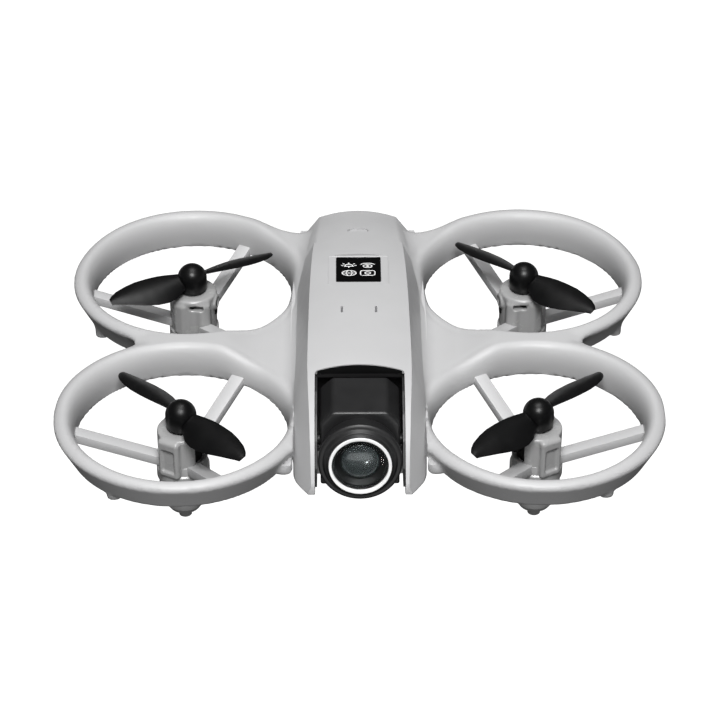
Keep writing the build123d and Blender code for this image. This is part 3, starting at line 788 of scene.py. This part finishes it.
def rear_clip_field(x, y, z):
    """Left rear motor holder: closed in front with two upright lobes and a crescent slot."""
    r = np.hypot(x, y)
    wall = cut(0.5, r - 6.5, MOTOR_R - r, z - 27.9, 17.0 - z)
    cap = cut(0.9, r - 6.6, 1.7 - r, z - 28.2, 26.2 - z)
    mouth = box_field(x, y, z, (4.6, 4.6, 23.0), (3.6, 3.6, 3.2), 0.8)
    parts = [smooth_max(np.minimum(wall, cap), -mouth, 0.4)]
    lobes = ((238.0, 1.9, 17.0, 27.2), (300.0, 1.9, 17.4, 27.0), (120.0, 1.8, 17.5, 27.0))
    for degrees, half, low, high in lobes:
        c, s = math.cos(math.radians(degrees)), math.sin(math.radians(degrees))
        along, across = x * c + y * s, -x * s + y * c
        middle, tall = (low + high) / 2, (high - low) / 2
        lobe = box_field(along, across, z, (5.9, 0, middle), (1.5, half, tall), 1.1)
        parts.append(smooth_max(lobe, 4.9 - r, 0.3))
    field = union(1.0, *parts)
    slot = box_field(x, y, z, (1.2, -6.4, 26.0), (1.9, 1.6, 0.7), 0.5)
    field = smooth_max(field, -slot, 0.3)
    # round ear with a dished face
    c, s = math.cos(math.radians(-14.0)), math.sin(math.radians(-14.0))
    along, across = x * c + y * s, -x * s + y * c
    ear = cut(0.5, np.hypot(across, z - 25.2) - 2.1, np.abs(along - 6.2) - 0.9)
    dish = cut(0.3, np.hypot(across, z - 25.2) - 1.2, 6.7 - along)
    return smooth_max(smooth_min(field, ear, 0.6), -dish, 0.2)


def spoke_solid(heading):
    """One straight spoke that climbs from the hub to the guard ring."""
    half, height = 1.85, 2.8
    inner, outer = 5.6, DUCT_R + 0.9
    low_in, low_out = 16.9, 24.8
    section = filleted([(-half, 0), (half, 0), (half, height), (-half, height)], 0.22, 2)
    loops = [[(inner, y, low_in + z) for y, z in section], [(outer, y, low_out + z) for y, z in section]]
    points, faces = loop_loft(loops)
    return moved(points, about_z(heading)), faces


CLIP_LOW, CLIP_HIGH = (-8.6, -8.6, 15.6), (8.6, 8.6, 30.8)
CLIP_CELL = 0.3
clip_meshes = {
    -1: surface_net(front_clip_field, CLIP_LOW, CLIP_HIGH, CLIP_CELL * quality),
    1: surface_net(rear_clip_field, CLIP_LOW, CLIP_HIGH, CLIP_CELL * quality),
}
bell_outline = filleted([(0.85, 20.8), (4.95, 20.8), (4.95, 26.2), (4.55, 27.15), (3.4, 27.25), (3.3, 26.9),
                         (1.6, 26.9), (1.5, 28.2), (0.85, 28.2)], 0.18, 3)
for corner, (side_x, side_y) in CORNERS.items():
    place = Matrix.Translation((side_x * DUCT_X, side_y * DUCT_Y, 0))
    mirror = Matrix.Diagonal((-side_x, 1, 1, 1))
    points, faces = clip_meshes[side_y]
    add_piece(f"motor_holder_{corner}", moved(points, place @ mirror), faces, "airframe", "clip_grey",
              [f"motor_clip_{corner}"], sharp=55.0)
    points, faces = lathe(pod_cup_outline(), 72)
    add_piece(f"pod_bowl_{corner}", moved(points, place), faces, "airframe", "clip_grey",
              [f"pod_cup_{corner}"], sharp=40.0)
    spokes = []
    for angle in (180.0, 60.0, -60.0):
        points, faces = spoke_solid(angle if side_x < 0 else 180.0 - angle)
        spokes.append((moved(points, place), faces))
    points, faces = joined(*spokes)
    add_piece(f"spokes_{corner}", points, faces, "airframe", "guard_grey", [f"spider_{corner}"], sharp=28.0)
    bell = lathe(bell_outline, 72)
    ear = prism(round_rect(1.1, 1.5, 0.5), -2.4, 2.4)
    ear = (moved(ear[0], Matrix.Translation((-side_x * 5.6, -1.0, 24.0))), ear[1])
    points, faces = joined(bell, ear)
    add_piece(f"motor_bell_{corner}", moved(points, place), faces, "airframe", "motor_black",
              sharp=30.0)


# ---- propellers ----------------------------------------------------------------------------
# radius, raised edge, lowered edge (across the blade), thickness and pitch
BLADE = np.array([
    (2.6, 1.5, -2.3, 1.15, 30.0),
    (4.5, 1.9, -3.6, 1.05, 27.0),
    (7.0, 2.4, -5.1, 0.95, 25.0),
    (9.5, 2.8, -5.8, 0.90, 23.0),
    (12.5, 3.0, -5.9, 0.82, 20.5),
    (16.0, 3.0, -5.3, 0.74, 18.0),
    (19.0, 2.5, -4.4, 0.66, 16.0),
    (22.0, 1.6, -3.5, 0.60, 14.5),
    (23.9, 0.5, -2.9, 0.52, 13.0),
    (24.8, -0.5, -2.7, 0.40, 13.0),
])
BLADE_Z = 32.5


def blade_mesh(hand):
    """Twisted, cambered blade along X; hand is 1 or -1 for its sense of rotation."""
    radii = np.linspace(BLADE[0, 0], BLADE[-1, 0], 34)
    table = []
    for column in range(1, 5):
        table.append(np.interp(radii, BLADE[:, 0], BLADE[:, column]))
    around = 20
    loops = []
    for radius, high, low, thick, pitch in zip(radii, *table):
        slope = math.tan(math.radians(pitch))
        loop = []
        for k in range(around):
            angle = 2 * math.pi * k / around
            across = math.cos(angle)
            lift = 0.5 * thick * math.sin(angle) * (1.0 - 0.35 * across * across)
            camber = 0.07 * (high - low) * (1 - across * across)
            y = (high + low) / 2 + across * (high - low) / 2
            loop.append((radius, hand * y, BLADE_Z + y * slope + lift + camber))
        loops.append(loop)
    return loop_loft(loops)


DOME_R = 4.05
hub_outline = [(0.0, 36.3)]
for step in range(1, 19):
    angle = math.radians(90.0 - 5.0 * step)
    hub_outline.append((DOME_R * math.cos(angle), 32.3 + 4.0 * math.sin(angle)))
hub_outline += [(DOME_R, 30.6), (3.95, 30.3), (3.95, 28.95), (3.8, 28.8), (0.0, 28.8)]
# heading of each propeller at rest, and its sense of rotation
PROP_REST = {"front_left": (135.0, 1), "front_right": (42.0, -1),
             "rear_left": (25.5, -1), "rear_right": (139.5, 1)}
for corner, (side_x, side_y) in CORNERS.items():
    heading, hand = PROP_REST[corner]
    place = Matrix.Translation((side_x * DUCT_X, side_y * DUCT_Y, 0)) @ about_z(heading)
    parts = [lathe(hub_outline, 80)]
    for turn in (0.0, 180.0):
        points, faces = blade_mesh(hand)
        parts.append((moved(points, about_z(turn)), faces))
    points, faces = joined(*parts)
    add_piece(f"propeller_skin_{corner}", moved(points, place), faces, f"propeller_{corner}",
              "propeller_black", [f"propeller_{corner}"], sharp=48.0)


# ---- camera head ---------------------------------------------------------------------------
lens_axis = Vector((0, -math.cos(LENS_TILT), math.sin(LENS_TILT)))
lens_up = Vector((0, math.sin(LENS_TILT), math.cos(LENS_TILT)))
lens_face = Vector((0, PIVOT_Y, PIVOT_Z)) + lens_axis * LENS_REACH - LENS_DROP * lens_up
LENS_PLACE = Matrix.Translation(lens_face) @ Matrix((
    (1, lens_up[0], lens_axis[0], 0), (0, lens_up[1], lens_axis[1], 0), (0, lens_up[2], lens_axis[2], 0),
    (0, 0, 0, 1)))
HEAD_TOP_X = 6.95
HEAD_TOP_Z = 41.0
HEAD_SIDE_X = 10.1


def housing_field(x, y, z):
    """The camera's block: sloping top, chamfered shoulders, and a face square to the lens."""
    x = np.abs(x)
    depth = (y - PIVOT_Y) * lens_axis[1] + (z - PIVOT_Z) * lens_axis[2] - LENS_REACH + 7.0
    brow = ((y + 45.1) * -0.40 + (z - HEAD_TOP_Z) * 0.917)
    shoulder = (x - HEAD_TOP_X + z - HEAD_TOP_Z) / math.sqrt(2.0)
    back = np.maximum(y + 27.9, 20.5 - z)
    heel = ((y + 29.0) * 0.6 + (23.4 - z) * 0.8)
    return cut(0.55, x - HEAD_SIDE_X, z - HEAD_TOP_Z, brow, shoulder, back, heel, depth)


points, faces = surface_net(housing_field, (-11.2, -49.0, 19.4), (11.2, -27.6, 42.2), 0.36 * quality)
add_piece("camera_block", points, faces, "camera_head", "camera_black", ["camera_housing"], sharp=50.0)

# turned pieces on the lens axis, as (radius, distance in front of the lens face)
barrel_outline = [(10.0, -8.5), (10.0, -3.6), (10.7, -3.3), (10.7, -2.3), (10.2, -2.0), (9.5, -2.05),
                  (9.3, -1.75), (8.95, -1.2), (8.55, -1.1), (8.35, -0.55), (8.0, -0.35), (8.0, -1.08),
                  (6.98, -1.08), (6.98, -2.4), (5.0, -3.5), (4.75, -3.7), (4.75, -8.5)]
points, faces = lathe(filleted(barrel_outline, 0.12, 3), 128)
add_piece("lens_bezel", moved(points, LENS_PLACE), faces, "camera_head", "camera_black",
          ["lens_barrel"], sharp=30.0)
ring_outline = filleted([(7.2, -1.05), (7.97, -1.05), (7.97, -0.03), (7.2, -0.10)], 0.08, 3)
points, faces = lathe(ring_outline, 128)
add_piece("lens_trim_ring", moved(points, LENS_PLACE), faces, "camera_head", "trim_white",
          ["lens_ring"], sharp=40.0)
GLASS_R = 6.95
glass_outline = [(0, -1.6), (6.85, -1.6), (GLASS_R, -1.5), (GLASS_R, -1.25)]
for angle in np.radians(range(10, 90, 10)):
    glass_outline.append((GLASS_R * math.cos(angle), -1.25 + 0.35 * math.sin(angle)))
glass_outline += [(0, -0.9)]
points, faces = lathe(glass_outline, 96)
window = add_piece("lens_window", moved(points, LENS_PLACE), faces, "camera_head", "lens_glass",
                   ["lens_cover_glass"])
window.visible_shadow = False
mask_outline = [(5.1, -3.0), (5.2, -2.8), (6.4, -1.9), (6.96, -1.85), (6.96, -2.2), (6.4, -2.25)]
points, faces = lathe(mask_outline, 96)
mask = add_piece("lens_mask", moved(points, LENS_PLACE), faces, "camera_head", "camera_black",
                 sharp=25.0)
mask.data.materials[0] = MATERIALS["bay_black"]
dome_outline = [(0, -8.4), (4.6, -8.4), (4.6, -3.8), (4.95, -3.3)]
for angle in np.radians(range(0, 90, 6)):
    dome_outline.append((4.95 * math.cos(angle), -3.05 + 1.3 * math.sin(angle)))
dome_outline += [(0, -1.75)]
points, faces = lathe(dome_outline, 96)
add_piece("lens_elements", moved(points, LENS_PLACE), faces, "camera_head", "lens_dark",
          ["lens_stack"])

pins = []
for side in (-1, 1):
    points, faces = lathe(filleted([(0.0, 0.0), (1.5, 0.0), (1.5, 1.4), (0.0, 1.4)], 0.15, 2), 32)
    turn = Matrix.Rotation(math.radians(90.0 * side), 4, "Y")
    place = Matrix.Translation((side * 9.9, PIVOT_Y, PIVOT_Z)) @ turn
    pins.append((moved(points, place), faces))
points, faces = joined(*pins)
add_piece("tilt_pins", points, faces, "camera_head", "camera_black", ["camera_trunnions"], sharp=30.0)

# near-black plates that line the notch under the shell's front edge: painted shade over the shell's lit cut
# faces
across = np.linspace(0.1 - NOTCH_IN_X, NOTCH_IN_X - 0.1, 41)
shade_loops = []
for x in across:
    y = notch_edge_y(x)
    top = crown_height(x, y) - 0.3
    low = PIVOT_Z + math.sqrt(CAVITY_R ** 2 - (y - PIVOT_Y) ** 2)
    shade_loops.append([(x, y - 0.1, low), (x, y - 0.1, top), (x, y + 0.4, top), (x, y + 0.4, low)])
shade_sheets = [loop_loft(shade_loops)]
# painted shade: the same near-black plates along each cheek's inner face
for side in (-1, 1):
    near, far = side * (NOTCH_IN_X - 0.1), side * (NOTCH_IN_X + 0.02)
    shade_loops = []
    for y in np.linspace(CHEEK_TIP_Y + 0.25, notch_edge_y(NOTCH_IN_X) - 0.9, 50):
        top, low = crown_height(NOTCH_IN_X, y) - 0.12, shell_bottom(y) + 0.15
        shade_loops.append([(near, y, low), (near, y, top), (far, y, top), (far, y, low)])
    shade_sheets.append(loop_loft(shade_loops))
points, faces = joined(*shade_sheets)
shade_piece = add_piece("notch_painted_shade", points, faces, "airframe", "camera_black", sharp=30.0)
shade_piece.data.materials[0] = MATERIALS["bay_black"]


# ---- CAD pieces that stay in view -----------------------------------------------------------
record = frame["record"]
slots = {entry["node"]: entry["material_slot"] for entry in record["subparts"]}
for name, node in NODES.items():
    node.data.materials.clear()
    node.data.materials.append(MATERIALS[slots[name]])
for name, width in (("lower_chassis", 0.5), ("battery_pack", 0.5), ("battery_latch", 0.3),
                    ("charge_port", 0.08), ("flow_sensor_window", 0.2)):
    NODES[name].data.shade_smooth()
    NODES[name].data.set_sharp_from_angle(angle=math.radians(30.0))
    round_edges(NODES[name], width)


# ---- floor, light and camera ----------------------------------------------------------------
def floor_material():
    """Plain white paint with a little light of its own."""
    material = moulded("floor_paint", (0.93, 0.93, 0.93), 0.6, grain=4.0, relief=0.01, mottle=0.005)
    shader = material.node_tree.nodes["Principled BSDF"]
    shader.inputs["Emission Color"].default_value = (1.0, 1.0, 1.0, 1.0)
    shader.inputs["Emission Strength"].default_value = 1.2
    shader.inputs["Specular IOR Level"].default_value = 0.1
    return material


def sweep_outline():
    """Level floor that turns up into a far wall, as (radius, height) in metres."""
    flat, turn, top = 2.4, 0.9, 3.4
    outline = [(0.0, 0.0), (flat, 0.0)]
    for step in range(1, 9):
        angle = math.radians(90.0 * step / 8)
        outline.append((flat + turn * math.sin(angle), turn - turn * math.cos(angle)))
    return outline + [(flat + turn, top)]


SEGMENTS = 64
outline = sweep_outline()
TURN = 2 * math.pi / SEGMENTS
points = [(r * math.cos(k * TURN), r * math.sin(k * TURN), z)
          for r, z in outline[1:] for k in range(SEGMENTS)]
faces = [tuple(range(SEGMENTS))]
for row in range(len(outline) - 2):
    for k in range(SEGMENTS):
        here, there = row * SEGMENTS + k, row * SEGMENTS + (k + 1) % SEGMENTS
        faces.append((here, there, there + SEGMENTS, here + SEGMENTS))
mesh = bpy.data.meshes.new("studio_floor")
mesh.from_pydata(points, [], faces)
mesh.shade_smooth()
floor = bpy.data.objects.new("studio_floor", mesh)
mesh.materials.append(floor_material())
bpy.context.scene.collection.objects.link(floor)
# the floor lights nothing on the drone and hides no lamp
floor.visible_diffuse = False
floor.visible_glossy = False
floor.visible_shadow = False
floor.visible_transmission = False

world = bpy.data.worlds.new("studio_air")
world.use_nodes = True
world.node_tree.nodes["Background"].inputs["Color"].default_value = (1.0, 1.0, 1.0, 1.0)
world.node_tree.nodes["Background"].inputs["Strength"].default_value = 0.06
bpy.context.scene.world = world


def softbox(name, place, target, size, power):
    """Rectangular lamp at a place in metres, turned towards a target."""
    light = bpy.data.lights.new(name, "AREA")
    light.shape = "RECTANGLE"
    light.size, light.size_y = size
    light.energy = power
    lamp = bpy.data.objects.new(name, light)
    lamp.location = place
    lamp.rotation_euler = (Vector(target) - Vector(place)).to_track_quat("-Z", "Y").to_euler()
    bpy.context.scene.collection.objects.link(lamp)


BODY_MIDDLE = (0, 0, 0.03)
softbox("overhead_softbox", (0.0, 0.1, 1.15), BODY_MIDDLE, (0.5, 0.5), 5.6)
softbox("front_softbox", (0.0, -0.70, 1.11), BODY_MIDDLE, (0.45, 0.4), 19.5)
softbox("low_fill", (0.0, -1.0, -0.1), BODY_MIDDLE, (0.9, 0.3), 1.5)
# a small lamp whose reflection is the bright spot on the lens
softbox("lens_glint", (0.148, -0.838, -0.26), (0, -0.052, 0.031), (0.06, 0.05), 0.22)

bpy.context.scene.view_settings.view_transform = "Standard"

camera_data = bpy.data.cameras.new("camera")
camera_data.lens = 129.6
camera_data.sensor_width = 36.0
camera = bpy.data.objects.new("camera", camera_data)
TARGET = Vector((0.0003, 0.0, 0.02663))
AZIMUTH = math.radians(-0.4)
ELEVATION = math.radians(35.22)
DISTANCE = 0.6961
camera.location = TARGET + DISTANCE * Vector((
    math.sin(AZIMUTH) * math.cos(ELEVATION), -math.cos(AZIMUTH) * math.cos(ELEVATION), math.sin(ELEVATION)))
camera.rotation_euler = (TARGET - camera.location).to_track_quat("-Z", "Y").to_euler()
bpy.context.scene.collection.objects.link(camera)
bpy.context.scene.camera = camera
